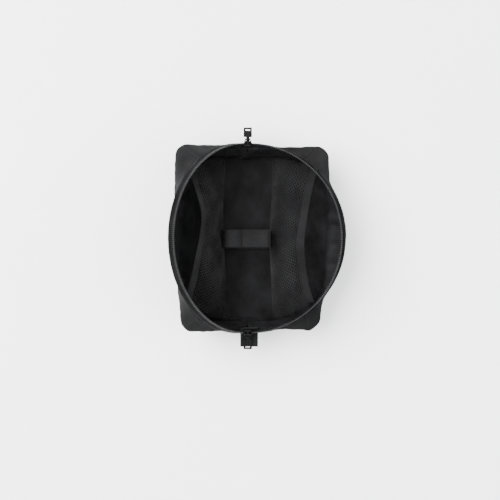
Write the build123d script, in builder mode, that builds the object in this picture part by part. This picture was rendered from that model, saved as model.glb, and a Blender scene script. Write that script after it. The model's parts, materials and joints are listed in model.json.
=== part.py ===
from build123d import *
import math
import os

# Cable organizer pouch, unzipped and spread open, standing on its base. Millimetres, +Z up.
# The origin is the centre of the base's underside. The zip runs along Y, over the top and down both ends.

# ---- driving dimensions ----
base_width = 120.0
base_length = 196.0
base_corner = 14.0
base_thickness = 2.0
wall_bottom_width = 122.0
wall_bottom_length = 196.0
wall_top_width = 166.0
wall_top_length = 206.0
wall_top_corner = 14.0
left_wall_top = 78.0
right_wall_top = 54.0
wall_thickness = 2.4
lining_thickness = 0.8
lining_gap = 0.2
panel_seam_y = 91.0

# The two halves of the mouth are half circles that turn about the line through the zip's two ends.
zip_radius = 106.0
zip_end_height = 45.0
left_tilt = 48.0
right_tilt = 80.0
lip_start = 5.0

coil_inner = zip_radius - 1.0
coil_outer = zip_radius + 1.0
coil_offset = 1.0
coil_width = 1.8
coil_gap = 0.2
trim_margin = 1.0
tape_from = 1.5
tape_to = 5.2
tape_inner = zip_radius - 0.3
tape_outer = zip_radius + 0.5
top_panel_from = 5.4
top_panel_to = 11.0
top_panel_inner = zip_radius - 0.8
top_panel_outer = zip_radius + 1.0
sweep_radius = zip_radius + 5.0
left_sweep_margin = 5.5
right_sweep_margin = 1.5

slider_length = 11.0
slider_width = 8.4
slider_post_width = 1.2
slider_post_length = 4.0
slider_corner = 1.6
slider_post_overlap = 0.2
outer_plate = (zip_radius + 1.4, zip_radius + 2.8)
inner_plate = (zip_radius - 3.1, zip_radius - 1.7)
crown_radius = zip_radius + 5.0
crown_pin_diameter = 1.4
crown_lug_x = 2.7
crown_lug_width = 1.0
crown_lug_length = 2.4
crown_lug_cover = 1.0

pull_width = 8.6
pull_neck_width = 3.6
pull_neck_length = 4.5
pull_length = 16.0
pull_thickness = 1.2
pull_eye_diameter = 3.4
pull_eye_hole = 2.0
pull_corner = 1.0
pull_neck_overlap = 1.0
window_corner = 0.5
window_length = 2.4
window_width = 5.6
window_end_gap = 1.6

pull_droop = 24.0

tab_width = 20.0
tab_length = 19.2
tab_thickness = 2.4
tab_root_y = -102.8
tab_top = 38.6
tab_centre_x = 1.5

mesh_thickness = 1.4
mesh_foot_z = 7.0
binding_thickness = 1.8
binding_corner = 0.6
left_binding_x = -52.0
left_binding_z = 84.0
left_binding_width = 5.0
right_binding_x = 62.0
right_binding_z = 61.0
right_binding_width = 8.6
binding_front = -58.0
binding_rear = 68.0
mesh_foot_x = 28.0
mesh_foot_half_length = 86.0

strap_width = 20.0
strap_centre_y = -0.5
strap_half_span = 24.0
strap_height = 46.0
strap_thickness = 1.4
strap_overlap_x = -4.0
pad_thickness = 1.0
flap_gap = 0.4

# ---- shared construction ----
os.makedirs("parts", exist_ok=True)
zip_axis_point = (0, 0, zip_end_height)
zip_axis = Axis(zip_axis_point, (0, 1, 0))
LEFT = -1
RIGHT = 1
FRONT = -1
REAR = 1


def save(builder, name):
    """Labels a finished piece and writes it."""
    builder.part.label = name
    export_step(builder.part, f"parts/{name}.step")


def lip_plane(side, tilt):
    """The plane of a lip at this tilt from upright: its y points to the lip's middle, its z away from the zip."""
    lean = math.radians(tilt)
    away = (side * math.cos(lean), 0, -math.sin(lean))
    return Plane(origin=zip_axis_point, x_dir=(0, side, 0), z_dir=away)


def arc_band(inner, outer, start=lip_start):
    """A half ring, in the sketch's plane, that stops short of the zip's two ends."""
    sweep = 180 - 2 * start
    with BuildLine() as outline:
        inside = CenterArc((0, 0), inner, start, sweep)
        outside = CenterArc((0, 0), outer, start, sweep)
        Line(inside @ 0, outside @ 0)
        Line(inside @ 1, outside @ 1)
    make_face(outline.edges())


# Room that the two lips and the sliders sweep through: fixed pieces are cut back to it.
with BuildPart() as sweep_room:
    with BuildSketch(lip_plane(LEFT, left_tilt + top_panel_to + left_sweep_margin)):
        with BuildLine():
            rim = CenterArc((0, 0), sweep_radius, 0, 180)
            Line(rim @ 0, rim @ 1)
        make_face()
    lip_arc = left_tilt + right_tilt + 2 * top_panel_to
    revolve(axis=zip_axis, revolution_arc=lip_arc + left_sweep_margin + right_sweep_margin)


# ---- base ----
with BuildPart() as base_panel:
    with BuildSketch():
        RectangleRounded(base_width, base_length, base_corner)
    extrude(amount=base_thickness)
save(base_panel, "base_panel")

board_gap = 0.3
board_thickness = 2.0
board_inset = 4.0
floor_lining_inset = 3.5
with BuildPart() as base_stiffener:
    with BuildSketch(Plane.XY.offset(base_thickness + board_gap)):
        RectangleRounded(
            base_width - 2 * board_inset, base_length - 2 * board_inset, base_corner - board_inset
        )
    extrude(amount=board_thickness)
save(base_stiffener, "base_stiffener")

floor_lining_z = base_thickness + board_thickness + 2 * board_gap
with BuildPart() as base_lining:
    with BuildSketch(Plane.XY.offset(floor_lining_z)):
        RectangleRounded(
            base_width - 2 * floor_lining_inset,
            base_length - 2 * floor_lining_inset,
            base_corner - floor_lining_inset,
        )
    extrude(amount=lining_thickness)
save(base_lining, "base_lining")


reach = 120.0


# ---- walls: a flaring ring, cut at its four seams and below the lips ----
def wall_body(inset, top_z, mode):
    """A solid that flares from the wall's bottom outline to its top one, drawn in by inset."""
    with BuildSketch(Plane.XY.offset(base_thickness)) as bottom:
        RectangleRounded(
            wall_bottom_width - 2 * inset, wall_bottom_length - 2 * inset, base_corner - inset
        )
    with BuildSketch(Plane.XY.offset(top_z)) as top:
        RectangleRounded(
            wall_top_width - 2 * inset, wall_top_length - 2 * inset, wall_top_corner - inset
        )
    loft(sections=[bottom.sketch, top.sketch], mode=mode)


def wall_half(side, inset, thickness):
    """One side's half of the wall ring. The right half stands lower, because its lip lies further open."""
    top_z = right_wall_top if side == RIGHT else left_wall_top
    with BuildPart() as half:
        wall_body(inset, top_z, Mode.ADD)
        wall_body(inset + thickness, top_z, Mode.SUBTRACT)
        with Locations((side * reach / 2, 0, reach / 2)):
            Box(reach, 2 * reach, reach, mode=Mode.INTERSECT)
        add(sweep_room.part, mode=Mode.SUBTRACT)
    return half.part


def wall_piece(name, halves, low, high):
    """The part of the wall halves inside the box from low to high."""
    size = [b - a for a, b in zip(low, high)]
    centre = [(a + b) / 2 for a, b in zip(low, high)]
    with BuildPart() as piece:
        for half in halves:
            add(half)
        with Locations(Vector(*centre)):
            Box(*size, mode=Mode.INTERSECT)
    save(piece, name)


side_regions = {
    "left_side": ((-reach, -panel_seam_y, 0), (0, panel_seam_y, reach)),
    "right_side": ((0, -panel_seam_y, 0), (reach, panel_seam_y, reach)),
    "front_end": ((-reach, -reach, 0), (reach, -panel_seam_y, reach)),
    "rear_end": ((-reach, panel_seam_y, 0), (reach, reach, reach)),
}
shell_halves = [wall_half(side, 0, wall_thickness) for side in (LEFT, RIGHT)]
lining_inset = wall_thickness + lining_gap
lining_halves = [wall_half(side, lining_inset, lining_thickness) for side in (LEFT, RIGHT)]
for region, (low, high) in side_regions.items():
    wall_piece(f"{region}_panel", shell_halves, low, high)
    lining_low = (low[0], low[1], floor_lining_z + lining_thickness)
    wall_piece(f"{region}_lining", lining_halves, lining_low, high)

shoulder_thickness = 2.0
for name, side, top_z in (
    ("left_shoulder_panel", LEFT, left_wall_top),
    ("right_shoulder_panel", RIGHT, right_wall_top),
):
    with BuildPart() as shoulder_panel:
        with BuildSketch(Plane.XY.offset(top_z)):
            RectangleRounded(wall_top_width, wall_top_length, wall_top_corner)
        extrude(amount=shoulder_thickness)
        add(sweep_room.part, mode=Mode.SUBTRACT)
        with Locations((side * reach / 2, 0, 0)):
            Box(reach, 2 * reach, 2 * reach, mode=Mode.INTERSECT)
    save(shoulder_panel, name)


# ---- the two lips of the mouth ----
def trim_beside_coil(side, tilt):
    """Cuts the piece back to the coil's far side."""
    with BuildSketch(lip_plane(side, tilt)) as beside:
        arc_band(coil_inner - trim_margin, coil_outer + trim_margin, start=0)
    depth = coil_offset + coil_width + coil_gap
    extrude(beside.sketch, amount=depth, both=True, mode=Mode.SUBTRACT)


for word, side, tilt in (("left", LEFT, left_tilt), ("right", RIGHT, right_tilt)):
    turn_axis = Axis(zip_axis_point, (0, side, 0))
    with BuildPart() as zipper_coil:
        with BuildSketch(lip_plane(side, tilt).offset(coil_offset)):
            arc_band(coil_inner, coil_outer)
        extrude(amount=coil_width)
    save(zipper_coil, f"{word}_zipper_coil")

    with BuildPart() as zipper_tape:
        with BuildSketch(lip_plane(side, tilt + tape_from)):
            arc_band(tape_inner, tape_outer)
        revolve(axis=turn_axis, revolution_arc=tape_to - tape_from)
        trim_beside_coil(side, tilt)
    save(zipper_tape, f"{word}_zipper_tape")

    with BuildPart() as top_panel:
        with BuildSketch(lip_plane(side, tilt + top_panel_from)):
            arc_band(top_panel_inner, top_panel_outer)
        revolve(axis=turn_axis, revolution_arc=top_panel_to - top_panel_from)
        trim_beside_coil(side, tilt)
    save(top_panel, f"{word}_top_panel")


# ---- sliders, pulls and stops, at rest at the zip's two ends ----
def end_plane(end):
    """The plane across a zip end: x along X, y along Z, z outward."""
    return Plane(origin=zip_axis_point, x_dir=(-end, 0, 0), z_dir=(0, end, 0))


def end_slab(end, span, width, height, centre_y=0.0, centre_x=0.0):
    """A flat block across the zip end, filling span of the distance from the pouch's middle."""
    with BuildSketch(end_plane(end).offset(span[0])) as outline:
        with Locations((centre_x, centre_y)):
            Rectangle(width, height)
    extrude(outline.sketch, amount=span[1] - span[0])


for word, end in (("front", FRONT), ("rear", REAR)):
    with BuildPart() as slider:
        end_slab(end, outer_plate, slider_width, slider_length)
        end_slab(end, inner_plate, slider_width, slider_length)
        fillet(slider.edges().filter_by(Axis.Y), radius=slider_corner)
        post_y = (slider_length - slider_post_length) / 2
        post_span = (inner_plate[1] - slider_post_overlap, outer_plate[0] + slider_post_overlap)
        end_slab(end, post_span, slider_post_width, slider_post_length, post_y)
        for x in (-crown_lug_x, crown_lug_x):
            lug_span = (outer_plate[1], crown_radius + crown_lug_cover)
            end_slab(end, lug_span, crown_lug_width, crown_lug_length, centre_x=x)
        with Locations((0, end * crown_radius, zip_end_height)):
            Cylinder(
                crown_pin_diameter / 2, 2 * crown_lug_x + crown_lug_width, rotation=(0, 90, 0)
            )
    save(slider, f"{word}_slider")

    with BuildPart() as pull:
        droop = math.radians(pull_droop)
        pin = (0, end * crown_radius, zip_end_height)
        pull_plane = Plane(
            origin=pin, x_dir=(-end, 0, 0), z_dir=(0, -end * math.sin(droop), -math.cos(droop))
        )
        with BuildSketch(pull_plane.offset(-pull_thickness / 2)):
            with Locations((0, (pull_neck_length + pull_length) / 2)):
                RectangleRounded(pull_width, pull_length - pull_neck_length, pull_corner)
            with Locations((0, (pull_neck_length + pull_neck_overlap) / 2)):
                Rectangle(pull_neck_width, pull_neck_length + pull_neck_overlap)
            with Locations((0, pull_length - window_end_gap - window_length / 2)):
                RectangleRounded(window_width, window_length, window_corner, mode=Mode.SUBTRACT)
        extrude(amount=pull_thickness)
        with Locations(pin):
            Cylinder(pull_eye_diameter / 2, pull_neck_width, rotation=(0, 90, 0))
            Cylinder(
                pull_eye_hole / 2, 2 * pull_neck_width, rotation=(0, 90, 0), mode=Mode.SUBTRACT
            )
    save(pull, f"{word}_pull")

stop_span = (101.7, 103.3)
stop_width = 6.0
stop_height = 3.0
stop_drop = 8.0
with BuildPart() as rear_zip_stop:
    end_slab(REAR, stop_span, stop_width, stop_height, centre_y=-stop_drop)
save(rear_zip_stop, "rear_zip_stop")

with BuildPart() as front_end_tab:
    with BuildSketch(Plane.XY.offset(tab_top - tab_thickness)):
        with Locations((tab_centre_x, tab_root_y - tab_length / 2)):
            Rectangle(tab_width, tab_length)
    extrude(amount=tab_thickness)
save(front_end_tab, "front_end_tab")


# ---- mesh pockets, each hung from a bound edge ----
def mesh_pocket(name, side, top_x, top_z):
    """A slanting net panel from its bound edge down to the floor beside the centre bay."""
    foot = Vector(side * mesh_foot_x, 0, mesh_foot_z)
    head = Vector(top_x, 0, top_z)
    rise = head - foot
    drop_plane = Plane(origin=foot, x_dir=(0, 1, 0), z_dir=Vector(0, 1, 0).cross(rise))
    height = rise.length if drop_plane.y_dir.dot(rise) > 0 else -rise.length
    with BuildPart() as pocket:
        with BuildSketch(drop_plane):
            with BuildLine():
                Polyline(
                    (-mesh_foot_half_length, 0),
                    (mesh_foot_half_length, 0),
                    (binding_rear, height),
                    (binding_front, height),
                    close=True,
                )
            make_face()
        extrude(amount=mesh_thickness / 2, both=True)
    save(pocket, name)


def pocket_binding(name, x, z, width):
    """The binding tape that edges a pocket's mouth."""
    with BuildPart() as binding:
        with Locations((x, (binding_front + binding_rear) / 2, z)):
            Box(width, binding_rear - binding_front, binding_thickness)
        fillet(binding.edges().filter_by(Axis.Y), radius=binding_corner)
    save(binding, name)


binding_drop = 2.0
mesh_pocket("left_mesh_pocket", LEFT, left_binding_x, left_binding_z - binding_drop)
mesh_pocket("right_mesh_pocket", RIGHT, right_binding_x, right_binding_z - binding_drop)
pocket_binding("left_pocket_binding", left_binding_x, left_binding_z, left_binding_width)
pocket_binding("right_pocket_binding", right_binding_x, right_binding_z, right_binding_width)


# ---- centre strap: two webbing legs and a flap that closes on hook-and-loop ----
def strap_run(name, outline):
    """A webbing piece whose side view is outline, as wide as the strap."""
    with BuildPart() as run:
        with BuildSketch(Plane.XZ.offset(-strap_centre_y - strap_width / 2)):
            with BuildLine():
                Polyline(*outline, close=True)
            make_face()
        extrude(amount=strap_width)
    save(run, name)


strap_floor = floor_lining_z + lining_thickness
patch_thickness = 1.0
patch_margin = 3.0
flap_lead = 2.0
patch_top = strap_floor + patch_thickness
band_top = strap_height
band_bottom = strap_height - strap_thickness
outer_x = strap_half_span
inner_x = strap_half_span - strap_thickness
loop_end_x = 12.0

with BuildPart() as strap_foot_patch:
    with Locations((0, strap_centre_y, strap_floor + patch_thickness / 2)):
        Box(2 * strap_half_span, strap_width + 2 * patch_margin, patch_thickness)
save(strap_foot_patch, "strap_foot_patch")

strap_run(
    "strap_left_band",
    (
        (-outer_x, patch_top),
        (-inner_x, patch_top),
        (-inner_x, band_bottom),
        (loop_end_x, band_bottom),
        (loop_end_x, band_top),
        (-outer_x, band_top),
    ),
)
strap_run(
    "strap_loop_pad",
    (
        (strap_overlap_x, band_top),
        (loop_end_x, band_top),
        (loop_end_x, band_top + pad_thickness),
        (strap_overlap_x, band_top + pad_thickness),
    ),
)
hook_bottom = band_top + pad_thickness + flap_gap
flap_bottom = hook_bottom + pad_thickness
flap_top = flap_bottom + strap_thickness
strap_run(
    "strap_hook_pad",
    (
        (strap_overlap_x, hook_bottom),
        (loop_end_x, hook_bottom),
        (loop_end_x, flap_bottom),
        (strap_overlap_x, flap_bottom),
    ),
)
strap_run(
    "strap_flap",
    (
        (strap_overlap_x - flap_lead, flap_bottom),
        (inner_x, flap_bottom),
        (inner_x, flap_top),
        (strap_overlap_x - flap_lead, flap_top),
    ),
)
strap_run(
    "strap_right_band",
    (
        (inner_x, patch_top),
        (outer_x, patch_top),
        (outer_x, flap_bottom - flap_gap),
        (inner_x, flap_bottom - flap_gap),
    ),
)
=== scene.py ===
import json
import math
import random

import bpy
import numpy as np
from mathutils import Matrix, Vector

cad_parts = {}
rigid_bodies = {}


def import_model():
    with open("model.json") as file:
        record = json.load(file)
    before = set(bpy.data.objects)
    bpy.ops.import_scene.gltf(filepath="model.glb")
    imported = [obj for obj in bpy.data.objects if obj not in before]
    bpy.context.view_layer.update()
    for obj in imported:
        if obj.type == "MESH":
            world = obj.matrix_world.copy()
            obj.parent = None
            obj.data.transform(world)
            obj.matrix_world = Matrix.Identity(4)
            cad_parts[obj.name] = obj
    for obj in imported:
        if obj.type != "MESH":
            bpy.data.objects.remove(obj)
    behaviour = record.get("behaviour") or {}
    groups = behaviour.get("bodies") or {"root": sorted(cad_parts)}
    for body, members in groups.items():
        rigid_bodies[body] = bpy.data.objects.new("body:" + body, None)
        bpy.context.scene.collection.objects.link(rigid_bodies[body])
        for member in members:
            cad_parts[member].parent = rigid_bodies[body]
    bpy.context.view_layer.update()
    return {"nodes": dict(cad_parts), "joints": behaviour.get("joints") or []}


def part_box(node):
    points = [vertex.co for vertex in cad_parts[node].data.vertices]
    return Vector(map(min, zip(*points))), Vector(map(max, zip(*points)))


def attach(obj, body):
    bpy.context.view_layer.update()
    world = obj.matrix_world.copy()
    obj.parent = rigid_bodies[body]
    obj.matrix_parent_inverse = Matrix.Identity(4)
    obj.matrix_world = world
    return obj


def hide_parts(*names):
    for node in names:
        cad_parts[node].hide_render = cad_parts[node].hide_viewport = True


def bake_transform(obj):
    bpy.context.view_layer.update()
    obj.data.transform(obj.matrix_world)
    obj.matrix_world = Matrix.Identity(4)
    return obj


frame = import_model()

# Cable organizer pouch, unzipped and spread open. Sizes here are millimetres and are scaled to metres
# only when a mesh is made. +Y is the zip's rear end, +X the lip that lies further open.
MM = 0.001
LEFT, RIGHT = -1, 1
WORD = {LEFT: "left", RIGHT: "right"}
joints = {j["name"]: j for j in frame["joints"]}
ZIP_END = np.array(joints["mouth_close"]["pos_m"]) / MM
TILT = {
    LEFT: math.radians(joints["mouth_close"]["range_deg"][1]),
    RIGHT: math.radians(joints["right_lip_close"]["range_deg"][1]),
}
CROWN_HEIGHT = 5.0
ZIP_R = joints["rear_pull_swing"]["pos_m"][1] / MM - CROWN_HEIGHT


def node_box(node):
    """A CAD node's lowest and highest corners, in millimetres."""
    low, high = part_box(node)
    return np.array(low) / MM, np.array(high) / MM


# ---------------------------------------------------------------- materials
def principled(name, colour, roughness, metallic=0.0):
    """A node material with its shader and an object-space coordinate node."""
    material = bpy.data.materials.new(name)
    material.use_nodes = True
    tree = material.node_tree
    shader = tree.nodes["Principled BSDF"]
    shader.inputs["Base Color"].default_value = (*colour, 1)
    shader.inputs["Roughness"].default_value = roughness
    shader.inputs["Metallic"].default_value = metallic
    coords = tree.nodes.new("ShaderNodeTexCoord")
    return material, tree, shader, coords


def noise_to_colour(tree, shader, coords, scale, dark, light, detail=4.0):
    """Colour that drifts between dark and light over the surface. Returns its noise node."""
    noise = tree.nodes.new("ShaderNodeTexNoise")
    noise.inputs["Scale"].default_value = scale
    noise.inputs["Detail"].default_value = detail
    ramp = tree.nodes.new("ShaderNodeValToRGB")
    ramp.color_ramp.elements[0].position = 0.35
    ramp.color_ramp.elements[1].position = 0.68
    ramp.color_ramp.elements[0].color = (*dark, 1)
    ramp.color_ramp.elements[1].color = (*light, 1)
    tree.links.new(coords.outputs["Object"], noise.inputs["Vector"])
    tree.links.new(noise.outputs["Fac"], ramp.inputs["Fac"])
    tree.links.new(ramp.outputs["Color"], shader.inputs["Base Color"])
    return noise


def noise_to_roughness(tree, shader, noise, low, high):
    """Roughness that follows the same noise as the colour."""
    spread = tree.nodes.new("ShaderNodeMapRange")
    spread.inputs["To Min"].default_value = low
    spread.inputs["To Max"].default_value = high
    tree.links.new(noise.outputs["Fac"], spread.inputs["Value"])
    tree.links.new(spread.outputs["Result"], shader.inputs["Roughness"])


def wave(tree, vector, direction, period):
    """Bands with this period, in the units of the vector, across direction."""
    bands = tree.nodes.new("ShaderNodeTexWave")
    bands.wave_type = "BANDS"
    bands.bands_direction = direction
    bands.inputs["Scale"].default_value = math.pi / 10 / period
    tree.links.new(vector, bands.inputs["Vector"])
    return bands.outputs["Fac"]


def math_node(tree, operation, a, b):
    """The result socket of a Math node on two sockets or numbers."""
    node = tree.nodes.new("ShaderNodeMath")
    node.operation = operation
    for socket, value in zip(node.inputs, (a, b)):
        if isinstance(value, (int, float)):
            socket.default_value = value
        else:
            tree.links.new(value, socket)
    return node.outputs[0]


def add_bump(tree, shader, height, distance, strength=1.0):
    """Bump of this many millimetres from a height socket."""
    bump = tree.nodes.new("ShaderNodeBump")
    bump.inputs["Strength"].default_value = strength
    bump.inputs["Distance"].default_value = distance * MM
    tree.links.new(height, bump.inputs["Height"])
    tree.links.new(bump.outputs["Normal"], shader.inputs["Normal"])


RIB_PERIODS = 2.4


def woven(name, dark, light, roughness, period, depth, sheen, ribs=None, creases=0.0):
    """Cloth: a plain weave in UV millimetres, or ribs across one direction, over drifting colour.

    period is the thread spacing and depth the bump, in millimetres. creases adds broad soft folds."""
    material, tree, shader, coords = principled(name, light, roughness)
    noise = noise_to_colour(tree, shader, coords, 38.0, dark, light)
    noise_to_roughness(tree, shader, noise, roughness - 0.08, roughness + 0.08)
    shader.inputs["Sheen Weight"].default_value = sheen
    shader.inputs["Sheen Roughness"].default_value = 0.45
    shader.inputs["Specular IOR Level"].default_value = 0.07
    shader.inputs["IOR"].default_value = 1.35
    uv = coords.outputs["UV"]
    if ribs:
        other_way = "X" if ribs == "Y" else "Y"
        rib_waves = wave(tree, uv, ribs, period * RIB_PERIODS)
        threads = math_node(tree, "ADD", rib_waves, wave(tree, uv, other_way, period))
    else:
        warp, weft = wave(tree, uv, "X", period), wave(tree, uv, "Y", period)
        threads = math_node(tree, "MULTIPLY", math_node(tree, "ADD", warp, weft), 0.5)
    fine = tree.nodes.new("ShaderNodeTexNoise")
    fine.inputs["Scale"].default_value = 900.0
    fine.inputs["Detail"].default_value = 3.0
    tree.links.new(coords.outputs["Object"], fine.inputs["Vector"])
    height = math_node(tree, "ADD", threads, math_node(tree, "MULTIPLY", fine.outputs["Fac"], 0.8))
    if creases:
        folds = tree.nodes.new("ShaderNodeTexNoise")
        folds.inputs["Scale"].default_value = 70.0
        folds.inputs["Detail"].default_value = 5.0
        folds.inputs["Distortion"].default_value = 0.6
        tree.links.new(coords.outputs["Object"], folds.inputs["Vector"])
        height = math_node(
            tree, "ADD", height, math_node(tree, "MULTIPLY", folds.outputs["Fac"], creases)
        )
    add_bump(tree, shader, height, depth)
    return material


def nylon_plastic(name, dark, light, roughness):
    """Moulded nylon with a soft gloss and a faint grain."""
    material, tree, shader, coords = principled(name, light, roughness)
    noise = noise_to_colour(tree, shader, coords, 260.0, dark, light)
    noise_to_roughness(tree, shader, noise, roughness - 0.06, roughness + 0.1)
    add_bump(tree, shader, noise.outputs["Fac"], 0.05)
    return material


def gunmetal(name):
    """Black plated metal, with a fine grain and a dull gloss."""
    material, tree, shader, coords = principled(name, (0.004, 0.004, 0.0042), 0.45, metallic=0.3)
    noise = noise_to_colour(tree, shader, coords, 420.0, (0.0022, 0.0022, 0.0023), (0.006, 0.006, 0.0062))
    shader.inputs["Specular IOR Level"].default_value = 0.07
    noise_to_roughness(tree, shader, noise, 0.4, 0.58)
    add_bump(tree, shader, noise.outputs["Fac"], 0.03)
    return material


MATERIALS = {
    "shell": woven(
        "shell_nylon", (0.0042, 0.0042, 0.0044), (0.0084, 0.0084, 0.0087), 0.8,
        period=0.9, depth=0.10, sheen=0.02, creases=1.2,
    ),
    "lining": woven(
        "lining_nylon", (0.0018, 0.0018, 0.002), (0.0065, 0.0065, 0.007), 0.55,
        period=0.7, depth=0.10, sheen=0.01, creases=5.0,
    ),
    "net": woven(
        "net_yarn", (0.009, 0.009, 0.0094), (0.021, 0.021, 0.0215), 0.6, period=0.5, depth=0.05, sheen=0.01
    ),
    "binding": woven(
        "binding_grosgrain", (0.0038, 0.0038, 0.004), (0.0072, 0.0072, 0.0076), 0.62,
        period=0.6, depth=0.12, sheen=0.01, ribs="X",
    ),
    "tape": woven(
        "zipper_tape_weave", (0.003, 0.003, 0.0031), (0.0065, 0.0065, 0.0068), 0.8,
        period=0.6, depth=0.10, sheen=0.01, ribs="Y",
    ),
    "webbing": woven(
        "ribbed_webbing", (0.005, 0.005, 0.0052), (0.0105, 0.0105, 0.011), 0.62,
        period=0.8, depth=0.22, sheen=0.01, ribs="Y",
    ),
    "thread": woven(
        "stitch_thread", (0.014, 0.014, 0.0145), (0.028, 0.028, 0.03), 0.5, period=0.3, depth=0.04, sheen=0.02
    ),
    "hook": woven(
        "hook_and_loop", (0.008, 0.008, 0.0085), (0.015, 0.015, 0.016), 0.7,
        period=0.9, depth=0.35, sheen=0.03,
    ),
    "board": nylon_plastic("stiffener_board", (0.09, 0.09, 0.09), (0.14, 0.14, 0.14), 0.6),
    "coil": nylon_plastic("coil_nylon", (0.004, 0.004, 0.0043), (0.0095, 0.0095, 0.01), 0.46),
    "metal": gunmetal("gunmetal"),
}


# ---------------------------------------------------------------- mesh helpers
def make_object(name, points, faces, material, uvs=None, smooth=True):
    """A mesh object from millimetre points, its faces and one UV pair per point."""
    mesh = bpy.data.meshes.new(name)
    mesh.from_pydata((np.asarray(points) * MM).tolist(), [], [list(map(int, f)) for f in faces])
    if uvs is not None:
        layer = mesh.uv_layers.new(name="cloth")
        loop_points = np.zeros(len(mesh.loops), int)
        mesh.loops.foreach_get("vertex_index", loop_points)
        layer.data.foreach_set("uv", np.asarray(uvs, float)[loop_points].ravel())
    mesh.materials.append(MATERIALS[material])
    mesh.polygons.foreach_set("use_smooth", [smooth] * len(mesh.polygons))
    piece = bpy.data.objects.new(name, mesh)
    bpy.context.scene.collection.objects.link(piece)
    return piece


def grid_faces(rows, columns):
    """Quads of a rows by columns grid of points."""
    index = np.arange(rows * columns).reshape(rows, columns)
    a, b = index[:-1, :-1], index[1:, :-1]
    c, d = index[1:, 1:], index[:-1, 1:]
    return np.stack([a, b, c, d], axis=-1).reshape(-1, 4)


def grid_uv(points):
    """UVs in millimetres: distance along the middle row and down each column."""
    along = np.linalg.norm(np.diff(points, axis=0), axis=2).mean(axis=1)
    down = np.linalg.norm(np.diff(points, axis=1), axis=2).mean(axis=0)
    u = np.concatenate([[0], np.cumsum(along)])
    v = np.concatenate([[0], np.cumsum(down)])
    return np.stack(np.meshgrid(u, v, indexing="ij"), axis=-1).reshape(-1, 2)


def unit(vectors):
    """Vectors scaled to length one."""
    return vectors / np.maximum(np.linalg.norm(vectors, axis=-1, keepdims=True), 1e-9)


def grid_normals(points):
    """Unit normals of a grid of points: rows run along it and columns across."""
    return unit(np.cross(np.gradient(points, axis=0), np.gradient(points, axis=1)))


def sheet_object(name, points, material, thickness, flip=False, normals=None):
    """A cloth sheet over a grid of points, with a second face this far below the first and a closed rim.

    normals are those of the larger cloth that it is cut from, so that neighbouring pieces meet."""
    rows, columns = points.shape[:2]
    normals = grid_normals(points) if normals is None else normals
    below = points + normals * (thickness if flip else -thickness)
    faces = grid_faces(rows, columns)
    count = rows * columns
    index = np.arange(count).reshape(rows, columns)
    rim = np.concatenate([index[:, 0], index[-1, 1:], index[::-1, -1][1:], index[0, ::-1][1:]])
    side_faces = np.stack([rim[1:], rim[:-1], rim[:-1] + count, rim[1:] + count], axis=1)
    all_faces = np.concatenate([faces, faces[:, ::-1] + count, side_faces])
    if flip:
        all_faces = all_faces[:, ::-1]
    uvs = grid_uv(points)
    both = np.concatenate([points.reshape(-1, 3), below.reshape(-1, 3)])
    piece = make_object(name, both, all_faces, material, np.concatenate([uvs, uvs]))
    smooth = np.ones(len(all_faces), bool)
    smooth[2 * len(faces):] = False
    piece.data.polygons.foreach_set("use_smooth", smooth)
    return piece


def spline_points(controls, count):
    """Clamped cubic B-spline through the ends of controls (k, ..., 3), sampled at count even steps."""
    k = len(controls)
    knots = np.concatenate([np.zeros(3), np.linspace(0, 1, k - 2), np.ones(3)])
    samples = np.linspace(0, 1, count)
    basis = np.zeros((count, len(knots) - 1))
    for i in range(len(knots) - 1):
        basis[:, i] = (samples >= knots[i]) & (samples < knots[i + 1])
    basis[-1, k - 1] = 1
    for degree in (1, 2, 3):
        raised = np.zeros((count, len(knots) - 1 - degree))
        for i in range(raised.shape[1]):
            left, right = knots[i + degree] - knots[i], knots[i + degree + 1] - knots[i + 1]
            if left > 0:
                raised[:, i] += (samples - knots[i]) / left * basis[:, i]
            if right > 0:
                raised[:, i] += (knots[i + degree + 1] - samples) / right * basis[:, i + 1]
        basis = raised
    return np.tensordot(basis, controls, axes=(1, 0))


def lerp(a, b, t):
    return a + (b - a) * t


def repeated(name, centres, along, across, up, size, material, taper=0.7):
    """Many small rounded blocks, one at each centre, each with its own three directions."""
    corner = np.array([
        (-0.5, -0.5 * taper, 0), (-0.5 * taper, -0.5, 0), (0.5 * taper, -0.5, 0), (0.5, -0.5 * taper, 0),
        (0.5, 0.5 * taper, 0), (0.5 * taper, 0.5, 0), (-0.5 * taper, 0.5, 0), (-0.5, 0.5 * taper, 0),
    ])
    layers = [(-0.5, taper), (-0.2, 1.0), (0.2, 1.0), (0.5, taper)]
    shape = np.concatenate([corner * (share, share, 1) + (0, 0, height) for height, share in layers])
    count, ring = len(shape), 8
    faces = [tuple(range(ring))[::-1], tuple(range(count - ring, count))]
    for layer in range(len(layers) - 1):
        for i in range(ring):
            a, b = layer * ring + i, layer * ring + (i + 1) % ring
            faces.append((a, b, b + ring, a + ring))
    points, all_faces = [], []
    sizes = np.broadcast_to(size, (len(centres), 3))
    for i, centre in enumerate(centres):
        length, width, depth = sizes[i]
        offset = shape[:, :1] * length * along[i] + shape[:, 1:2] * width * across[i]
        points.append(centre + (offset + shape[:, 2:] * depth * up[i]))
        all_faces += [tuple(k + i * count for k in face) for face in faces]
    points = np.concatenate(points)
    return make_object(name, points, all_faces, material, points[:, :2])


def even_along(points, pitch, phase):
    """Shares of the way along a line for marks a pitch apart, the first half a pitch plus phase in."""
    steps = np.linalg.norm(np.diff(points, axis=0), axis=1)
    way = np.concatenate([[0], np.cumsum(steps)])
    marks = np.arange(pitch / 2 + phase, way[-1], pitch)
    return np.interp(marks, way, np.linspace(0, 1, len(points)))


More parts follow.
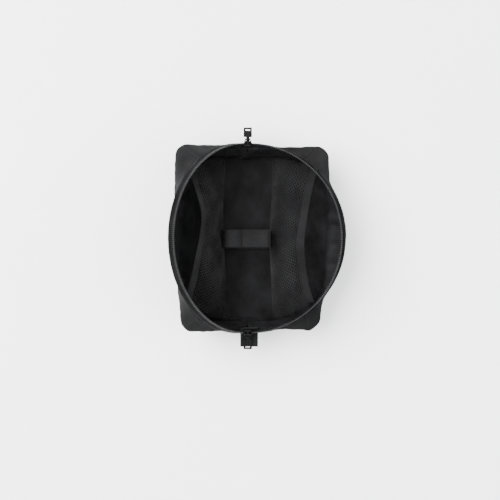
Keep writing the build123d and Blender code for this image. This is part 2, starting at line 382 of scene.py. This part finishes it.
def line_on(grid, distance):
    """The line on a cloth grid that runs this far from its last column."""
    way = np.cumsum(np.linalg.norm(np.diff(grid[:, ::-1], axis=1), axis=2), axis=1)
    line = np.zeros((len(grid), 3))
    for i, row in enumerate(grid[:, ::-1]):
        line[i] = [np.interp(distance, np.concatenate([[0], way[i]]), row[:, k]) for k in range(3)]
    return line


def stitched(name, line, beside, outside, pitch, size, material="thread"):
    """Stitches along a line. beside is that line a little further over the cloth, outside lies off it."""
    share = even_along(line, pitch, 0.0) * (len(line) - 1)
    index = np.arange(len(line))

    def at(values):
        return np.stack([np.interp(share, index, values[:, k]) for k in range(3)], axis=1)

    along = unit(at(np.gradient(line, axis=0)))
    across = at(beside - line)
    across = unit(across - (across * along).sum(axis=1, keepdims=True) * along)
    up = np.cross(along, across)
    up *= np.sign((up * (at(outside) - at(line))).sum(axis=1, keepdims=True))
    return repeated(name, at(line) + 0.25 * up, along, across, up, size, material)


# ---------------------------------------------------------------- the pouch's curves
def half_outline(v, half_width, half_length, corner):
    """Points on half of a rounded rectangle, from the rear middle (v 0) round the side to the front (v 1)."""
    end, arc, flank = half_width - corner, math.pi / 2 * corner, 2 * (half_length - corner)
    s = np.asarray(v) * (2 * end + 2 * arc + flank)
    x, y = np.zeros_like(s), np.zeros_like(s)
    edges = np.cumsum([end, arc, flank, arc, end])
    for i, point in enumerate(s):
        if point <= edges[0]:
            x[i], y[i] = point, half_length
        elif point <= edges[1]:
            a = (point - edges[0]) / corner
            x[i], y[i] = end + corner * math.sin(a), half_length - corner * (1 - math.cos(a))
        elif point <= edges[2]:
            x[i], y[i] = half_width, half_length - corner - (point - edges[1])
        elif point <= edges[3]:
            a = (point - edges[2]) / corner
            x[i], y[i] = end + corner * math.cos(a), -(half_length - corner) - corner * math.sin(a)
        else:
            x[i], y[i] = edges[4] - point, -half_length
    return x, y


def lip_normal(side):
    """Unit vector from the lip's plane towards the wall."""
    return np.array([side * math.cos(TILT[side]), 0, -math.sin(TILT[side])])


def lip_radial(side, v):
    """Unit vectors from the zip's middle out to the lip."""
    phi = math.pi * np.asarray(v)[:, None]
    middle = np.array([side * math.sin(TILT[side]), 0, math.cos(TILT[side])])
    return np.cos(phi) * np.array([0, 1, 0]) + np.sin(phi) * middle


# The tape is flat beside the coil and leans out beyond that. The left lip's lean is greatest half way round
# it, and the right lip's at one angle round it, spread over another.
TAPE_WIDTH = 6.5
TAPE_FLAT = 4.4
LEFT_LEAN = math.radians(52)
RIGHT_LEAN, RIGHT_LEAN_AT, RIGHT_LEAN_SPREAD = (math.radians(angle) for angle in (76, 82, 36))


def tape_direction(side, v):
    """Unit vectors across the outer part of the zipper tape, which leans out of the lip's own direction."""
    phi = math.pi * np.asarray(v)[:, None]
    if side == LEFT:
        turn = LEFT_LEAN * np.sin(phi)
    else:
        turn = RIGHT_LEAN * np.exp(-(((phi - RIGHT_LEAN_AT) / RIGHT_LEAN_SPREAD) ** 2))
    return np.cos(turn) * lip_normal(side) + np.sin(turn) * lip_radial(side, v)


def lip_frame(side, v, leaning):
    """Along, across and up directions at shares v of a lip, on its flat part or where the tape leans."""
    step = 1e-4
    ends = lip_radial(side, np.clip(v + step, 0, 1)) - lip_radial(side, np.clip(v - step, 0, 1))
    along = unit(ends)
    across = tape_direction(side, v) if leaning else np.repeat(lip_normal(side)[None], len(v), axis=0)
    up = np.cross(across, along)
    up *= np.sign((up * lip_radial(side, v)).sum(axis=1, keepdims=True))
    return along, across, up


def lip_point(side, v, across=0.0, lift=0.0):
    """Points this far across the tape from the coil's edge, and lifted off it."""
    flat = min(across, TAPE_FLAT)
    up = lip_frame(side, v, across > TAPE_FLAT)[2]
    leaning = (across - flat) * tape_direction(side, v)
    return ZIP_END + ZIP_R * lip_radial(side, v) + flat * lip_normal(side) + leaning + lift * up


# Half width and half length at the shoulder edge, its barrel and its taper to the front, and its
# height at the zip's ends and at its middle.
RIDGE = {
    LEFT: (76.0, 104.3, 0.065, 0.045, 41.0, 79.0),
    RIGHT: (84.5, 103.3, 0.09, 0.065, 40.0, 47.5),
}
RIDGE_CORNER = 12.5
ZIP_END_Y = 101.2
# How far the right lip's fabric flops out, the share of the lip where it is greatest, and its spread.
FLOP, FLOP_AT, FLOP_SPREAD = 8.0, 0.45, 0.12


def smoothstep(value, low, high):
    t = np.clip((value - low) / (high - low), 0, 1)
    return t * t * (3 - 2 * t)


def ridge_point(side, v, inset=0.0, drop=0.0):
    """Points along the shoulder edge, where the wall turns over into the top fabric."""
    half_width, half_length, barrel, taper, low, high = RIDGE[side]
    x, y = half_outline(v, half_width - inset, half_length - inset, RIDGE_CORNER - inset)
    share = y / half_length
    notch = (half_length - ZIP_END_Y) * (1 - smoothstep(x, 5.0, 24.0))
    x = x * (1 + barrel * (1 - share**2) + taper * share)
    rise = 1 - (1 - np.sin(math.pi * np.asarray(v))) ** 1.7
    return np.stack([side * x, y - np.sign(y) * notch, low + (high - low) * rise - drop], axis=1)


BASE_HALF_WIDTH, BASE_HALF_LENGTH, BASE_CORNER = 61.0, 98.5, 14.0


def base_point(side, v, inset, z):
    """Points round the base's outline, this far inside it and at this height."""
    x, y = half_outline(v, BASE_HALF_WIDTH - inset, BASE_HALF_LENGTH - inset, BASE_CORNER - inset)
    return np.stack([side * x, y, np.full_like(x, z)], axis=1)


def outward(side, v):
    """Horizontal unit vectors out of the wall."""
    x, y = half_outline(v, 72.0, 100.0, 13.0)
    inner_x, inner_y = half_outline(v, 70.0, 98.0, 11.0)
    way = np.stack([side * (x - inner_x), y - inner_y, np.zeros_like(x)], axis=1)
    way[0], way[-1] = (0, 1, 0), (0, -1, 0)
    return way / np.linalg.norm(way, axis=1)[:, None]


def shell_surface(side, v, count):
    """The outer fabric, from the base's edge up the wall and over the shoulder to the tape."""
    wall_foot, wall_head = base_point(side, v, 0, 5), ridge_point(side, v, 0, 7)
    bulge = outward(side, v) * 1.5
    lip = lip_point(side, v, TAPE_WIDTH, 0.6)
    ridge = ridge_point(side, v, 0, 1.0)
    over = lerp(ridge, lip, 0.16) + np.array([0, 0, 1.6])
    flop = np.zeros_like(lip)
    if side == RIGHT:
        flop[:, 0] = FLOP * np.exp(-(((v - FLOP_AT) / FLOP_SPREAD) ** 2))
    controls = np.stack([
        base_point(side, v, 1.6, 0.8),
        base_point(side, v, 0.1, 1.0),
        wall_foot,
        lerp(wall_foot, wall_head, 0.33) + bulge,
        lerp(wall_foot, wall_head, 0.66) + bulge,
        wall_head,
        ridge,
        over,
        lerp(over, lip, 0.5) + flop,
        lip + 0.3 * flop,
    ])
    return spline_points(controls, count).transpose(1, 0, 2)


def lining_surface(side, v, count):
    """The lining, from the floor's edge up inside the wall and out to the coil."""
    foot, head = base_point(side, v, 5.0, 12), ridge_point(side, v, 4.5, 7)
    lip = lip_point(side, v, 6.4, 0.4)
    shoulder = ridge_point(side, v, 5.0, 1.0)
    bow = outward(side, v) * -2.0
    controls = np.stack([
        base_point(side, v, 8.0, 6.4),
        base_point(side, v, 5.5, 6.8),
        foot,
        lerp(foot, head, 0.35) + bow,
        lerp(foot, head, 0.7) + bow,
        head,
        lerp(shoulder, lip, 0.1),
        lerp(shoulder, lip, 0.5) - np.array([0, 0, 1.5]),
        lerp(shoulder, lip, 0.85),
        lip,
    ])
    return spline_points(controls, count).transpose(1, 0, 2)


# ---------------------------------------------------------------- cloth
CLOTH_FRAMES = 16


def slackened(points, slack, inward, most):
    """The grid after a cloth simulation with extra length pinned at its rim: it buckles into soft wrinkles.

    A point may leave its place by at most this many millimetres, and hardly at all against inward."""
    rows, columns = points.shape[:2]
    mesh = bpy.data.meshes.new("cloth_trial")
    mesh.from_pydata((points.reshape(-1, 3) * MM).tolist(), [], grid_faces(rows, columns).tolist())
    trial = bpy.data.objects.new("cloth_trial", mesh)
    bpy.context.scene.collection.objects.link(trial)
    index = np.arange(rows * columns).reshape(rows, columns)
    pins = trial.vertex_groups.new(name="pins")
    rim = np.concatenate([index[0], index[-1], index[:, 0], index[:, 1], index[:, -1], index[:, -2]])
    pins.add([int(i) for i in np.unique(rim)], 1.0, "REPLACE")
    cloth = trial.modifiers.new("cloth", "CLOTH")
    cloth.settings.vertex_group_mass = "pins"
    cloth.settings.quality = 6
    cloth.settings.mass = 0.15
    cloth.settings.tension_stiffness = 25
    cloth.settings.compression_stiffness = 25
    cloth.settings.shear_stiffness = 12
    cloth.settings.bending_stiffness = 0.6
    cloth.settings.shrink_min = -slack
    cloth.settings.effector_weights.gravity = 0.3
    cloth.collision_settings.use_collision = False
    scene = bpy.context.scene
    for step in range(1, CLOTH_FRAMES + 1):
        scene.frame_set(step)
    graph = bpy.context.evaluated_depsgraph_get()
    moved = np.zeros(rows * columns * 3)
    trial.evaluated_get(graph).data.vertices.foreach_get("co", moved)
    scene.frame_set(1)
    bpy.data.objects.remove(trial)
    shift = moved.reshape(rows, columns, 3) / MM - points
    along = (shift * inward).sum(axis=2, keepdims=True)
    kept = np.clip(along, -0.25 * most, most)
    shift += (kept - along) * inward
    length = np.linalg.norm(shift, axis=2, keepdims=True)
    return points + shift * np.minimum(1, most / np.maximum(length, 1e-9))


def surface_normals(points, towards):
    """Unit normals of a grid, turned to the side that the point towards lies on."""
    du, dv = np.gradient(points, axis=0), np.gradient(points, axis=1)
    normal = np.cross(du, dv)
    normal /= np.maximum(np.linalg.norm(normal, axis=2, keepdims=True), 1e-9)
    facing = np.sign(((towards - points) * normal).sum(axis=2).mean())
    return normal * facing


def ripple(v, seed, amount):
    """A smooth uneven wave along a lip, from a few sines with set phases."""
    draw = random.Random(seed)
    wave_sum = np.zeros_like(v)
    for k in range(5):
        height = math.sin(draw.uniform(0, 6))
        wave_sum += height * np.sin(2 * math.pi * (3 + 3.7 * k) * v + draw.uniform(0, 6))
    return amount * wave_sum / 2


def puckered(points, v, outward_way, amount, seed):
    """Gathers that start at the zip's stitching, deepest 12 mm from it and gone 45 mm away."""
    steps = np.linalg.norm(np.diff(points[:, ::-1], axis=1), axis=2)
    away = np.concatenate([np.zeros((len(points), 1)), np.cumsum(steps, axis=1)], axis=1)[:, ::-1]
    depth = np.clip(away / 12, 0, 1) * (1 - smoothstep(away, 14, 45))
    fine = ripple(v, seed, amount)[:, None] + 0.6 * ripple(2.3 * v + 0.4, seed + 5, amount)[:, None]
    drift = np.sin(away / 9 + 14 * v[:, None])
    return points + outward_way * (depth * fine * (0.75 + 0.25 * drift))[..., None]


def blend_to_lip(piece):
    """Bakes the piece's transform into its mesh; it is not tied to the shell or the lip."""
    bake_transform(piece)


# The share of a lip at which the end fabric is sewn to the side fabric, and the cloth grid's size.
SEAM_V = 0.2
ROWS, COLUMNS = 181, 48
SHELL_CLOTH, LINING_CLOTH = 0.9, 0.5
# Each cloth's share of extra length, its greatest shift, and its gathers' depth and random seed.
SHELL_SLACK, SHELL_SHIFT, SHELL_GATHER, SHELL_SEED = 0.02, 2.5, 0.7, 31
LINING_SLACK, LINING_SHIFT, LINING_GATHER, LINING_SEED = 0.06, 5.0, 1.4, 57
STITCH_PITCH = 3.4
TOPSTITCH_FROM_EDGE, LINING_STITCH_FROM_EDGE = 1.8, 5.0
MIDDLE = np.array([0.0, 0.0, 55.0])
cut = int(round(SEAM_V * (ROWS - 1)))
CUTS = {
    "rear_end": slice(0, cut + 1),
    "side": slice(cut, ROWS - cut),
    "front_end": slice(ROWS - 1 - cut, ROWS),
}


def sewn_pieces(side, grid, kind, material, thickness, flip, side_nodes, end_node):
    """The rear, side and front pieces of one cloth grid, with their transforms baked in, in place of the CAD
    nodes.
    """
    normals = grid_normals(grid)
    for name, rows in CUTS.items():
        label = f"{WORD[side]}_side_{kind}" if name == "side" else f"{name}_{kind}_{WORD[side]}"
        piece = sheet_object(label, grid[rows], material, thickness, flip, normals[rows])
        blend_to_lip(piece)
        if name == "side":
            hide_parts(*side_nodes)
        elif side == LEFT:
            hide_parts(f"{name}_{end_node}")


def sewn_line(name, grid, seen_from, distance, size):
    """A row of stitches this far from the cloth's edge at the zip, clear of the lip's ends."""
    lines = line_on(grid, distance), line_on(grid, distance + 1.0), line_on(seen_from, distance)
    stitches = stitched(name, *(line[8:-8] for line in lines), STITCH_PITCH, size)
    blend_to_lip(stitches)


for side in (LEFT, RIGHT):
    word = WORD[side]
    v = np.linspace(0, 1, ROWS)
    outer = shell_surface(side, v, COLUMNS)
    outer = slackened(outer, SHELL_SLACK, -surface_normals(outer, MIDDLE), SHELL_SHIFT)
    outer = puckered(outer, v, -surface_normals(outer, MIDDLE), SHELL_GATHER, SHELL_SEED + side)
    side_nodes = [f"{word}_{name}_panel" for name in ("side", "shoulder", "top")]
    sewn_pieces(side, outer, "fabric", "shell", SHELL_CLOTH, side == RIGHT, side_nodes, "panel")
    seen_from = outer - 2 * surface_normals(outer, MIDDLE)
    sewn_line(f"{word}_topstitch", outer, seen_from, TOPSTITCH_FROM_EDGE, (2.4, 0.55, 0.55))

    inner = lining_surface(side, v, COLUMNS)
    inner = slackened(inner, LINING_SLACK, surface_normals(inner, MIDDLE), LINING_SHIFT)
    inner = puckered(inner, v, surface_normals(inner, MIDDLE), LINING_GATHER, LINING_SEED + side)
    side_nodes = [f"{word}_side_lining"]
    sewn_pieces(side, inner, "lining_cloth", "lining", LINING_CLOTH, side == LEFT, side_nodes, "lining")
    seen_from = inner + 2 * surface_normals(inner, MIDDLE)
    sewn_line(f"{word}_lining_stitches", inner, seen_from, LINING_STITCH_FROM_EDGE, (2.3, 0.5, 0.5))


# A patch of shell fabric over the seam below each end of the zip, and the fold of fabric between the two
# lips under each slider, which reaches out this far.
PATCH_CLOTH = 0.8
FOLD_REACH = {"rear": 107.6, "front": 103.8}
for word, end in (("rear", 1), ("front", -1)):
    drop = np.linspace(0, 1, 22)
    across = np.linspace(-1, 1, 25)
    half = np.interp(drop, [0, 0.5, 1], [11.5, 10.5, 7.0])
    patch = np.zeros((22, 25, 3))
    patch[:, :, 0] = half[:, None] * across
    patch[:, :, 1] = end * (lerp(101.8, 99.4, drop)[:, None] - 0.35 * across**4)
    patch[:, :, 2] = lerp(44.5, 12.0, drop)[:, None]
    piece = sheet_object(f"{word}_zip_end_patch", patch, "shell", PATCH_CLOTH, flip=end > 0)
    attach(piece, "shell")

for word, end in (("rear", 1), ("front", -1)):
    reach = np.linspace(0, 1, 9)[:, None]
    fold = np.zeros((9, 13, 3))
    fold[:, :, 0] = lerp(8.0, 4.6, reach) * np.linspace(-1, 1, 13)
    fold[:, :, 1] = end * lerp(100.4, FOLD_REACH[word], reach)
    fold[:, :, 2] = 39.0 - 0.9 * reach**2
    piece = sheet_object(f"{word}_fold", fold, "shell", PATCH_CLOTH, flip=end > 0)
    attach(piece, "shell")


# ---------------------------------------------------------------- base and floor
def filled_outline(half_width, half_length, corner, z_of):
    """A rounded rectangle's area as a grid: its rows run across it, closest together at the two ends."""
    turn = np.linspace(0, math.pi / 2, 9)
    end_y = half_length - corner + corner * np.cos(turn)
    end_x = half_width - corner + corner * np.sin(turn)
    flank_y = np.linspace(half_length - corner, corner - half_length, 81)
    y = np.concatenate([end_y, flank_y[1:-1], -end_y[::-1]])
    reach_x = np.concatenate([end_x, np.full(79, half_width), end_x[::-1]])
    across = np.linspace(-1, 1, 61)
    points = np.zeros((len(y), len(across), 3))
    points[:, :, 0] = reach_x[:, None] * across
    points[:, :, 1] = y[:, None]
    points[:, :, 2] = z_of(points[:, :, 0], points[:, :, 1])
    return points


def floor_height(x, y):
    """The floor lining's slightly uneven height."""
    return floor_top + 0.5 * np.sin(x / 9 + 1.3 * np.sin(y / 23)) * np.sin(y / 17 + 0.4) + 0.3


base_low, base_high = node_box("base_panel")
base_points = filled_outline(*base_high[:2], BASE_CORNER, lambda x, y: np.full_like(x, base_high[2]))
base_fabric = sheet_object("base_fabric", base_points, "shell", base_high[2] - base_low[2] - 0.05)
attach(base_fabric, "shell")
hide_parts("base_panel")

floor_side, floor_end, floor_top = node_box("base_lining")[1]
floor_points = filled_outline(floor_side + 0.5, floor_end + 0.5, BASE_CORNER - 3.0, floor_height)
floor_cloth = sheet_object("floor_lining_cloth", floor_points, "lining", LINING_CLOTH)
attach(floor_cloth, "shell")
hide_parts("base_lining")


# ---------------------------------------------------------------- zipper
# LIP_START is the share of a lip that the slider covers at each of its ends.
LIP_START = {LEFT: 0.017, RIGHT: 0.0135}
TOOTH_PITCH, TOOTH_ACROSS = 2.1, 0.95
TAPE_STITCH_PITCH, TAPE_STITCH_ACROSS, TAPE_STITCH_LIFT = 3.2, 7.4, 0.6
TAPE_LINES = (0.6, 1.6, 2.8, 4.0, 4.8, 5.8, 7.0, 8.2)
TAPE_LIFT, TAPE_CLOTH = 0.35, 0.5
for side in (LEFT, RIGHT):
    word = WORD[side]
    lip = f"{word}_lip"
    start = LIP_START[side]
    v = np.linspace(start, 1 - start, 240)
    tape = np.stack([lip_point(side, v, line, TAPE_LIFT) for line in TAPE_LINES], axis=1)
    piece = sheet_object(f"{word}_tape_cloth", tape, "tape", TAPE_CLOTH, flip=side == RIGHT)
    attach(piece, lip)
    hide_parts(f"{word}_zipper_tape")

    # The two rows of teeth are half a pitch apart, so they mesh when the zip is closed.
    line = lip_point(side, v)
    phase = 0.0 if side == LEFT else TOOTH_PITCH / 2
    tooth_v = lerp(start, 1 - start, even_along(line, TOOTH_PITCH, phase))
    along, across, up = lip_frame(side, tooth_v, False)
    tooth_centres = lip_point(side, tooth_v, TOOTH_ACROSS)
    teeth = repeated(f"{word}_coil_teeth", tooth_centres, along, across, up, (0.95, 2.5, 1.8), "coil")
    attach(teeth, lip)
    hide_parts(f"{word}_zipper_coil")

    line = lip_point(side, v, TAPE_STITCH_ACROSS)
    stitch_v = lerp(start, 1 - start, even_along(line, TAPE_STITCH_PITCH, 0.0))
    along, across, up = lip_frame(side, stitch_v, True)
    centres = lip_point(side, stitch_v, TAPE_STITCH_ACROSS, TAPE_STITCH_LIFT)
    stitches = repeated(f"{word}_tape_stitches", centres, along, across, up, (2.3, 0.5, 0.5), "thread")
    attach(stitches, lip)


# ---------------------------------------------------------------- mesh pockets
NET_PITCH = 3.7
NET_YARN = 0.66
NET_LENGTH, NET_DEPTH = 175.0, 88.0
NET_FOOT_X = 27.0
FLOOR_Z = 6.6
# Points along each pocket's bound edge, from rear to front, and the binding's width at its rear, middle
# and front.
BINDING = {
    LEFT: np.array([
        (-70, 80, 80), (-61, 69, 83), (-53, 46, 84), (-47, 26, 83), (-50, 3, 82),
        (-54, -17, 82), (-58, -38, 83), (-62, -56, 84), (-67.5, -70, 81),
    ], float),
    RIGHT: np.array([
        (75, 78, 52), (72, 72, 56), (66, 47, 59), (62, 23, 60), (58.5, 1, 60),
        (58.5, -14, 60), (62, -46, 59), (67, -64, 57), (71, -72, 53),
    ], float),
}
BINDING_WIDTH = {LEFT: (4.5, 5.0, 7.5), RIGHT: (8.0, 8.8, 8.0)}


def pocket_surface(side, t, s):
    """Points of a net: t along the pocket from rear to front, s from the binding down to the floor."""
    line = spline_points(BINDING[side], 200)
    top = np.stack([np.interp(t, np.linspace(0, 1, 200), line[:, k]) for k in range(3)], axis=-1)
    foot_x = side * (NET_FOOT_X + 1.6 * np.sin(7 * t + side))
    foot = np.stack([foot_x, lerp(93.0, -93.0, t), np.full_like(t, FLOOR_Z)], axis=-1)
    ease = (1 - (1 - s) ** 1.5)[..., None]
    point = lerp(top, foot, s[..., None])
    point[..., 1] = lerp(top[..., 1], foot[..., 1], ease[..., 0])
    belly = np.sin(math.pi * np.clip(s, 0, 1)) * np.sin(math.pi * t) ** 0.7
    slope = 3.0 + 1.4 * np.sin(9 * t + 2 * s) + 0.9 * np.sin(23 * t - 5 * s + side)
    point[..., 0] -= side * belly * (slope + (5.0 if side == RIGHT else 1.0))
    point[..., 2] += belly * (3.0 if side == RIGHT else 1.0)
    return point


def net_object(side):
    """An openwork net of six-sided holes laid over the pocket's surface."""
    columns, rows = int(NET_LENGTH / NET_PITCH), int(NET_DEPTH / (NET_PITCH * 0.87))
    corners, index = [], {}

    def corner(a, b):
        key = (round(a, 3), round(b, 3))
        if key not in index:
            index[key] = len(corners)
            corners.append(key)
        return index[key]

    faces = []
    third = 1 / 3
    for row in range(rows):
        for column in range(columns):
            a, b = column + 0.5 * (row % 2), row
            ring = [
                corner(a, b + third), corner(a + 0.5, b), corner(a + 1, b + third),
                corner(a + 1, b + 1), corner(a + 0.5, b + 1 + third), corner(a, b + 1),
            ]
            faces.append(ring)
    grid = np.array(corners)
    t = np.clip(grid[:, 0] / (columns + 0.5), 0, 1)
    s = np.clip(grid[:, 1] / (rows + third), 0, 1)
    points = pocket_surface(side, t, s)
    uvs = np.stack([t * NET_LENGTH, s * NET_DEPTH], axis=1)
    piece = make_object(f"{WORD[side]}_pocket_net", points, faces, "net", uvs)
    yarn = piece.modifiers.new("yarn", "WIREFRAME")
    yarn.thickness = NET_YARN * MM
    yarn.use_even_offset = False
    deep = np.linalg.norm(spline_points(BINDING[side], 200)[100] - (side * NET_FOOT_X, 0, FLOOR_Z)) * MM
    return piece


def ribbon(name, line, across, width, thickness, material, crown=0.0):
    """A band along a line of points, this wide, with its middle raised by the crown."""
    shares = np.array([-0.5, -0.42, -0.2, 0.0, 0.2, 0.42, 0.5])
    tangent = np.gradient(line, axis=0)
    up = np.cross(tangent, across)
    up /= np.linalg.norm(up, axis=1)[:, None]
    if up[:, 2].sum() < 0:
        up = -up
    rise = crown * (1 - (2 * shares) ** 2)
    points = np.stack([line + width * s * across + r * up for s, r in zip(shares, rise)], axis=1)
    return sheet_object(name, points, material, thickness)


for side in (LEFT, RIGHT):
    word = WORD[side]
    net = net_object(side)
    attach(net, "shell")
    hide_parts(f"{word}_mesh_pocket")
    line = spline_points(BINDING[side], 90)
    width = np.interp(np.linspace(0, 1, 90), [0, 0.5, 1], BINDING_WIDTH[side])
    lean = np.array([side * 0.86, 0, 0.5 if side == LEFT else 0.3])
    lean /= np.linalg.norm(lean)
    across = np.repeat(lean[None], 90, axis=0)
    line[:, 2] += 0.9
    binding = ribbon(f"{word}_binding_tape", line, across, width[:, None], 1.6, "binding", 0.5)
    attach(binding, "shell")
    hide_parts(f"{word}_pocket_binding")


# ---------------------------------------------------------------- strap and tab
def rounded_run(corners, radius, step=1.5):
    """A line through corners in the X-Z plane with its bends rounded."""
    points = [np.array(corners[0], float)]
    for before, at, after in zip(corners, corners[1:], corners[2:]):
        before, at, after = (np.array(p, float) for p in (before, at, after))
        into = (before - at) / np.linalg.norm(before - at)
        out = (after - at) / np.linalg.norm(after - at)
        for t in np.linspace(0, 1, 8):
            a, b = at + into * radius, at + out * radius
            points.append((1 - t) ** 2 * a + 2 * t * (1 - t) * at + t**2 * b)
    points.append(np.array(corners[-1], float))
    points = np.array(points)
    way = np.concatenate([[0], np.cumsum(np.linalg.norm(np.diff(points, axis=0), axis=1))])
    even = np.linspace(0, way[-1], max(4, int(way[-1] / step)))
    return np.stack([np.interp(even, way, points[:, k]) for k in range(2)], axis=1)


def strap_piece(name, corners, radius, centre_y, width, thickness, material, body, nodes):
    """Flat webbing along a line in the X-Z plane, on this body and in place of these nodes."""
    flat = rounded_run(corners, radius)
    shares = np.linspace(-0.5, 0.5, 13)
    points = np.zeros((len(flat), len(shares), 3))
    points[:, :, 0] = flat[:, :1]
    points[:, :, 1] = centre_y + width * shares
    points[:, :, 2] = flat[:, 1:]
    piece = sheet_object(name, points, material, thickness)
    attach(piece, body)
    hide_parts(*nodes)


flap_low, flap_high = node_box("strap_flap")
band_low, band_high = node_box("strap_left_band")
right_high = node_box("strap_right_band")[1]
hook_low, hook_high = node_box("strap_hook_pad")
loop_low, loop_high = node_box("strap_loop_pad")
patch_low, patch_high = node_box("strap_foot_patch")
strap_y = (flap_low[1] + flap_high[1]) / 2
strap_width = flap_high[1] - flap_low[1]
pad_width = strap_width - 2
WEBBING_THICKNESS, PAD_THICKNESS = 1.3, 0.9

strap_piece(
    "strap_left_webbing",
    [(band_low[0] - 8.5, patch_high[2] + 0.3), (band_low[0], band_high[2]), (band_high[0], band_high[2])],
    7.0, strap_y, strap_width, WEBBING_THICKNESS, "webbing", "shell", ["strap_left_band"],
)
strap_piece(
    "strap_right_webbing",
    [(right_high[0] + 1.0, patch_high[2] + 0.3), (right_high[0], right_high[2])],
    4.0, strap_y, strap_width, WEBBING_THICKNESS, "webbing", "shell", ["strap_right_band"],
)
strap_piece(
    "strap_flap_webbing",
    [(flap_low[0], flap_high[2]), (flap_high[0] + 0.6, flap_high[2])],
    3.0, strap_y, strap_width, WEBBING_THICKNESS, "webbing", "strap_flap", ["strap_flap"],
)
strap_piece(
    "strap_hook_tape",
    [(hook_low[0] + 0.5, hook_high[2]), (hook_high[0] - 0.5, hook_high[2])],
    1.0, strap_y, pad_width, PAD_THICKNESS, "hook", "strap_flap", ["strap_hook_pad"],
)
strap_piece(
    "strap_loop_tape",
    [(loop_low[0] + 0.5, loop_high[2]), (loop_high[0] - 0.5, loop_high[2])],
    1.0, strap_y, pad_width, PAD_THICKNESS, "hook", "shell", ["strap_loop_pad"],
)
strap_piece(
    "strap_foot_webbing",
    [(patch_low[0] - 9, patch_high[2] + 0.5), (patch_high[0] + 2, patch_high[2] + 0.5)],
    1.0, strap_y, strap_width + 4, 1.0, "webbing", "shell", ["strap_foot_patch"],
)

tab_low, tab_high = node_box("front_end_tab")
tab_y = np.linspace(tab_high[1], tab_low[1], 22)
tab_x = np.linspace(tab_low[0], tab_high[0], 13)
tab_points = np.zeros((22, 13, 3))
tab_points[:, :, 0] = tab_x[None]
tab_points[:, :, 1] = tab_y[:, None]
tab_points[:, :, 2] = tab_high[2] - 0.1 + 0.25 * np.sin((tab_high[1] - tab_y) / 4.0)[:, None]
tab = sheet_object("front_tab_webbing", tab_points, "webbing", 2.2, flip=True)
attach(tab, "front_tab")
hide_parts("front_end_tab")


# ---------------------------------------------------------------- pulls
# Each block of a pull: its middle's distance from the pin and to the side, its length, width and thickness.
PULL_DROOP = math.radians(24)
PULL_BLOCKS = {
    "eye": (0.2, 0.0, 3.2, 3.6, 2.6),
    "neck": (2.4, 0.0, 3.8, 3.8, 1.1),
    "plate": (7.05, 0.0, 8.1, 9.0, 1.0),
    "left rail": (9.0, -3.6, 12.0, 2.2, 1.5),
    "right rail": (9.0, 3.6, 12.0, 2.2, 1.5),
    "end rail": (14.1, 0.0, 1.8, 9.4, 1.5),
}
for word, end in (("front", -1), ("rear", 1)):
    pin = np.array(joints[f"{word}_pull_swing"]["pos_m"]) / MM
    outwards = np.array([0, end * math.cos(PULL_DROOP), -math.sin(PULL_DROOP)])
    sideways = np.array([1.0, 0, 0])
    upwards = np.cross(sideways, outwards) * end
    blocks = np.array(list(PULL_BLOCKS.values()))
    centres = pin + blocks[:, :1] * outwards + blocks[:, 1:2] * sideways
    count = len(blocks)
    ways = [np.repeat(way[None], count, axis=0) for way in (outwards, sideways, upwards)]
    pull = repeated(f"{word}_zip_pull", centres, *ways, blocks[:, 2:], "metal", taper=0.94)
    pull.data.polygons.foreach_set("use_smooth", [False] * len(pull.data.polygons))
    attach(pull, f"{word}_pull")
    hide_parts(f"{word}_pull")


# ---------------------------------------------------------------- CAD nodes that stay
def paint(node, material):
    """Gives a CAD node, and the meshes below it, one material."""
    shown = frame["nodes"][node]
    for piece in [shown, *shown.children_recursive]:
        if piece.type == "MESH":
            piece.data.materials.clear()
            piece.data.materials.append(MATERIALS[material])


for node in ("front_slider", "rear_slider", "rear_zip_stop"):
    paint(node, "metal")
paint("base_stiffener", "board")


# ---------------------------------------------------------------- floor, light and camera
def floor_material():
    """Pale matt paper with a very faint mottle."""
    material, tree, shader, coords = principled("studio_paper", (0.88, 0.88, 0.885), 0.9)
    noise_to_colour(tree, shader, coords, 6.0, (0.87, 0.87, 0.876), (0.89, 0.89, 0.894))
    return material


MATERIALS["paper"] = floor_material()
ground_mesh = bpy.data.meshes.new("studio_floor")
ground_mesh.from_pydata([(-3, -3, 0), (3, -3, 0), (3, 3, 0), (-3, 3, 0)], [], [(0, 1, 2, 3)])
ground_mesh.materials.append(MATERIALS["paper"])
ground = bpy.data.objects.new("studio_floor", ground_mesh)
bpy.context.scene.collection.objects.link(ground)


def area_light(name, place, size, power, target=(0, 0, 0.05)):
    """A soft square light that faces target."""
    lamp = bpy.data.lights.new(name, "AREA")
    lamp.shape = "SQUARE"
    lamp.size = size
    lamp.energy = power
    holder = bpy.data.objects.new(name, lamp)
    bpy.context.scene.collection.objects.link(holder)
    holder.location = place
    holder.rotation_euler = (Vector(target) - Vector(place)).to_track_quat("-Z", "Y").to_euler()


area_light("key", (-1.4, 0.7, 1.9), 2.4, 290)
area_light("fill", (1.3, -0.3, 1.6), 1.6, 30)
world = bpy.data.worlds.new("studio")
bpy.context.scene.world = world
world.use_nodes = True
world.node_tree.nodes["Background"].inputs["Color"].default_value = (0.93, 0.94, 0.95, 1)
world.node_tree.nodes["Background"].inputs["Strength"].default_value = 2.5

camera_data = bpy.data.cameras.new("camera")
camera_data.lens = 93.3
camera_data.sensor_width = 36.0
camera = bpy.data.objects.new("camera", camera_data)
camera.location = (0.0025, -0.0132, 1.5)
bpy.context.scene.collection.objects.link(camera)
bpy.context.scene.camera = camera
